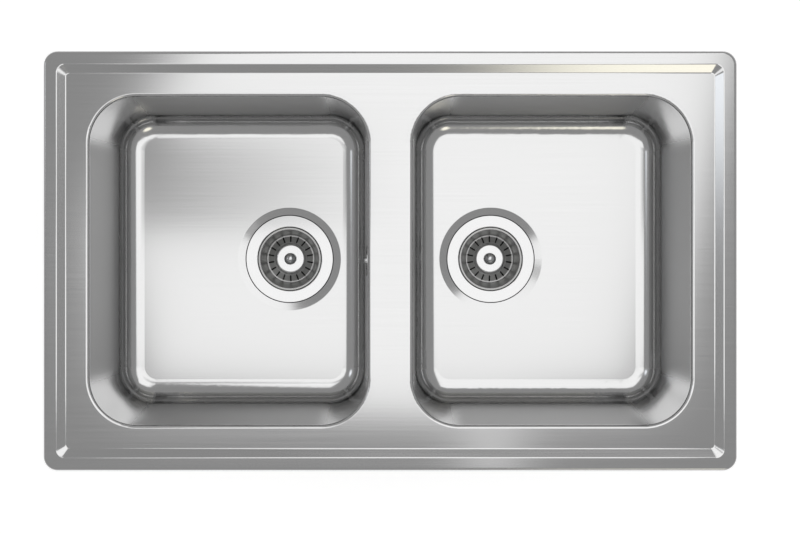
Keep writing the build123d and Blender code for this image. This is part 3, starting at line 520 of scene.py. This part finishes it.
def grow(name, tree, slot, verts, edges=(), faces=(), **sizes):
    """Plain mesh object of what a tree makes of a path, points or a slab, with its material slot."""
    base = bpy.data.meshes.new(name)
    base.from_pydata(verts, edges, faces)
    piece = bpy.data.objects.new(name, base)
    bpy.context.scene.collection.objects.link(piece)
    modifier = piece.modifiers.new("grow", "NODES")
    modifier.node_group = tree
    sizes["Material"] = FINISHES[slot]
    for item in tree.interface.items_tree:
        label = item.name.replace(" ", "_")
        if item.in_out == "INPUT" and label in sizes:
            modifier[item.identifier] = sizes[label]
    graph = bpy.context.evaluated_depsgraph_get()
    piece.data = bpy.data.meshes.new_from_object(piece.evaluated_get(graph), depsgraph=graph)
    piece.modifiers.clear()
    return piece


def close_up(mesh):
    """Welds a mesh, turns its faces outwards and keeps its sharp edges sharp."""
    form = bmesh.new()
    form.from_mesh(mesh)
    bmesh.ops.remove_doubles(form, verts=form.verts, dist=WELD)
    bmesh.ops.recalc_face_normals(form, faces=form.faces)
    form.to_mesh(mesh)
    form.free()
    mesh.set_sharp_from_angle(angle=radians(SHARP))


def stand_for(piece, body, *replaced):
    """The finished piece rides on a body in place of CAD nodes."""
    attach(piece, body)
    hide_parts(*replaced)


def loop(points):
    """Closed path through points."""
    return points, [(n, (n + 1) % len(points)) for n in range(len(points))]


def ring(place, radius, count=96):
    """Closed round path, level round its place."""
    x, y, z = place
    turns = [2 * pi * n / count for n in range(count)]
    return loop([(x + radius * cos(t), y + radius * sin(t), z) for t in turns])


def rounded_rectangle(place, length, width, corner, count=12):
    """Points of a level rectangle round its place, with round corners of a count of chords each."""
    x, y, z = place
    points = []
    for turn, sign_x, sign_y in ((0, 1, 1), (1, -1, 1), (2, -1, -1), (3, 1, -1)):
        for n in range(count + 1):
            t = (turn + n / count) * pi / 2
            points.append((x + sign_x * (length / 2 - corner) + corner * cos(t),
                           y + sign_y * (width / 2 - corner) + corner * sin(t), z))
    return points


# --- Soft pieces, in place of the CAD's plain ones, and the outlets' threads ---

STRIP, PAD, HOSE, THREAD = strip_tree(), pad_tree(), hose_tree(), thread_tree()
SIDES = {"left": -1, "right": 1}
WELD = 0.001 * MM
SHARP = 30                      # degrees

SEAL_WIDTH = 9.6 * MM
SEAL_CORNER = 12.6 * MM         # outside, as the rim's less its distance from the edge
SEAL_EDGE = 0.5 * MM

GASKET_BORE = 90.0 * MM
GASKET_EDGE = 0.3 * MM

OVERFLOW = (-27.88 * MM, 0, -30.5 * MM)     # where its axis meets the left bowl's wall
OVERFLOW_TILT = -90 + 2.2       # degrees about Y, which lay an upright axis square to that wall
OVERFLOW_OUTSIDE, OVERFLOW_BORE, OVERFLOW_THICK = (v * MM for v in (44.0, 30.0, 2.0))
OVERFLOW_BACK = -2.0 * MM       # its middle, behind the wall's face

PAD_CORNER = 6.0 * MM
PAD_BEVEL = 0.4 * MM
STUD_RADIUS, STUD_HEIGHT, STUD_PITCH = (v * MM for v in (2.4, 0.8, 8.0))    # half stands out

HOSE_PATH = [(-8.89 * MM, 0, -50.23 * MM), (-8.89 * MM, 0, -211.0 * MM), (-81.5 * MM, 0, -211.0 * MM)]
HOSE_BEND = 38.0 * MM
HOSE_CUFF = 24.0 * MM           # length of a plain end
HOSE_RIBS = 38
HOSE_VALLEY, HOSE_CREST, HOSE_WALL = (v * MM for v in (10.4, 12.0, 1.2))    # two radii, and a wall

# radius and depth under its top: soft edge that seats on the cup's cone, and a groove round the foot
STOPPER_PROFILE = [(r * MM, depth * MM) for r, depth in (
    (2.55, 0), (26.7, 0), (26.92, 0.1), (27.0, 0.3), (27.0, 1.1), (26.85, 1.36), (24.2, 2.56),
    (23.8, 2.67), (18.0, 2.67), (17.5, 2.3), (16.5, 2.3), (16.0, 2.67), (2.55, 2.67))]

THREAD_FROM_END = 2.0 * MM
THREAD_RADIUS, THREAD_LENGTH, THREAD_RIDGE = (v * MM for v in (23.7, 20.8, 0.8))
THREAD_TURNS = 9.0              # 11 to the inch


def make_seal():
    """Foam strip under the rim; its corners follow the rim's."""
    low, high, middle = box("rim_seal")
    size = high - low
    path = rounded_rectangle(middle, size.x - SEAL_WIDTH, size.y - SEAL_WIDTH,
                             SEAL_CORNER - SEAL_WIDTH / 2)
    seal = grow("foam_rim_seal", STRIP, "seal_foam", *loop(path), Width=SEAL_WIDTH, Height=size.z,
                Edge=SEAL_EDGE)
    close_up(seal.data)
    stand_for(seal, "root", "rim_seal")


def make_waste_gaskets():
    """Rings over and under the sheet round the hole in each bowl's floor."""
    for side, sign in SIDES.items():
        for use in ("flange", "body"):
            low, high, middle = box(f"{side}_{use}_gasket")
            axis = sign * WASTE_X
            outer, inner = max(high.x - axis, axis - low.x), GASKET_BORE / 2
            gasket = grow(f"{side}_{use}_gasket_ring", STRIP, "grey_rubber",
                          *ring((axis, 0, middle.z), (outer + inner) / 2), Width=outer - inner,
                          Height=high.z - low.z, Edge=GASKET_EDGE)
            close_up(gasket.data)
            stand_for(gasket, "root", f"{side}_{use}_gasket")


def make_overflow_gasket():
    """Ring square to the left bowl's drafted wall."""
    gasket = grow("overflow_gasket_ring", STRIP, "grey_rubber",
                  *ring((0, 0, OVERFLOW_BACK), (OVERFLOW_OUTSIDE + OVERFLOW_BORE) / 4),
                  Width=(OVERFLOW_OUTSIDE - OVERFLOW_BORE) / 2, Height=OVERFLOW_THICK,
                  Edge=GASKET_EDGE)
    gasket.data.transform(Matrix.Translation(OVERFLOW) @ Matrix.Rotation(radians(OVERFLOW_TILT), 4, "Y"))
    close_up(gasket.data)
    stand_for(gasket, "root", "overflow_gasket")


def make_sound_pads():
    """Slab under each bowl, bevelled and studded underneath."""
    for side in SIDES:
        low, high, middle = box(f"{side}_sound_pad")
        size = high - low
        slab = low.z + STUD_HEIGHT / 2
        outlines = [rounded_rectangle((middle.x, middle.y, z), size.x - 2 * inset,
                                      size.y - 2 * inset, PAD_CORNER - inset, 8)
                    for z, inset in ((high.z, 0), (slab + PAD_BEVEL, 0), (slab, PAD_BEVEL))]
        count = len(outlines[0])
        faces = [tuple(range(count)), tuple(range(3 * count - 1, 2 * count - 1, -1))]
        for level in (0, count):
            faces += [(level + n, level + count + n, level + count + (n + 1) % count,
                       level + (n + 1) % count) for n in range(count)]
        rows_x, rows_y = round(size.x / STUD_PITCH) - 1, round(size.y / STUD_PITCH) - 1
        pad = grow(f"{side}_studded_sound_pad", PAD, "sound_pad_rubber", sum(outlines, []), (), faces,
                   Rows_X=rows_x, Rows_Y=rows_y, Reach_X=(rows_x - 1) * STUD_PITCH,
                   Reach_Y=(rows_y - 1) * STUD_PITCH, Stud_Radius=STUD_RADIUS,
                   Stud_Height=STUD_HEIGHT, Place=(middle.x, middle.y, low.z))
        close_up(pad.data)
        stand_for(pad, "root", f"{side}_sound_pad")


def make_overflow_hose():
    """Down from the elbow, round the bend and across to the left waste's spigot."""
    top, corner, end = HOSE_PATH
    length = top[2] - corner[2] + corner[0] - end[0] + (pi / 2 - 2) * HOSE_BEND
    hose = grow("corrugated_overflow_hose", HOSE, "white_hose", HOSE_PATH, [(0, 1), (1, 2)],
                Bend=HOSE_BEND, Length=length, Cuff=HOSE_CUFF,
                Pitch=(length - 2 * HOSE_CUFF) / HOSE_RIBS, Valley_Radius=HOSE_VALLEY,
                Crest_Radius=HOSE_CREST)
    close_up(hose.data)
    wall = hose.modifiers.new("wall", "SOLIDIFY")
    wall.thickness, wall.offset = HOSE_WALL, -1.0
    stand_for(hose, "root", "overflow_hose")


def turn_round(name, slot, top, profile, count=72):
    """Closed solid of revolution under its top's middle, from its (radius, depth) profile."""
    x, y, z = top
    verts = [(x + r * cos(2 * pi * n / count), y + r * sin(2 * pi * n / count), z - depth)
             for n in range(count) for r, depth in profile]
    size = len(profile)
    faces = [(n * size + k, n * size + (k + 1) % size, (n + 1) % count * size + (k + 1) % size,
              (n + 1) % count * size + k) for n in range(count) for k in range(size)]
    mesh = bpy.data.meshes.new(name)
    mesh.from_pydata(verts, [], faces)
    mesh.materials.append(FINISHES[slot])
    mesh.shade_smooth()
    close_up(mesh)
    piece = bpy.data.objects.new(name, mesh)
    bpy.context.scene.collection.objects.link(piece)
    return piece


def make_stoppers():
    """Rubber disc under each basket."""
    for side, sign in SIDES.items():
        top = (sign * WASTE_X, 0, box(f"{side}_basket_stopper")[1].z)
        stopper = turn_round(f"{side}_moulded_stopper", "black_rubber", top, STOPPER_PROFILE)
        stand_for(stopper, f"{side}_basket", f"{side}_basket_stopper")


def make_outlet_threads():
    """Pipe thread's ridges, on the CAD's plain outlets."""
    feet = [(sign * WASTE_X, 0, box(f"{side}_waste_body")[0].z + THREAD_FROM_END)
            for side, sign in SIDES.items()]
    threads = grow("outlet_threads", THREAD, "white_polypropylene", feet, Radius=THREAD_RADIUS,
                   Length=THREAD_LENGTH, Turns=THREAD_TURNS, Ridge=THREAD_RIDGE)
    close_up(threads.data)
    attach(threads, "root")


make_seal()
make_waste_gaskets()
make_overflow_gasket()
make_sound_pads()
make_overflow_hose()
make_stoppers()
make_outlet_threads()

bpy.context.scene.view_settings.view_transform = "Standard"
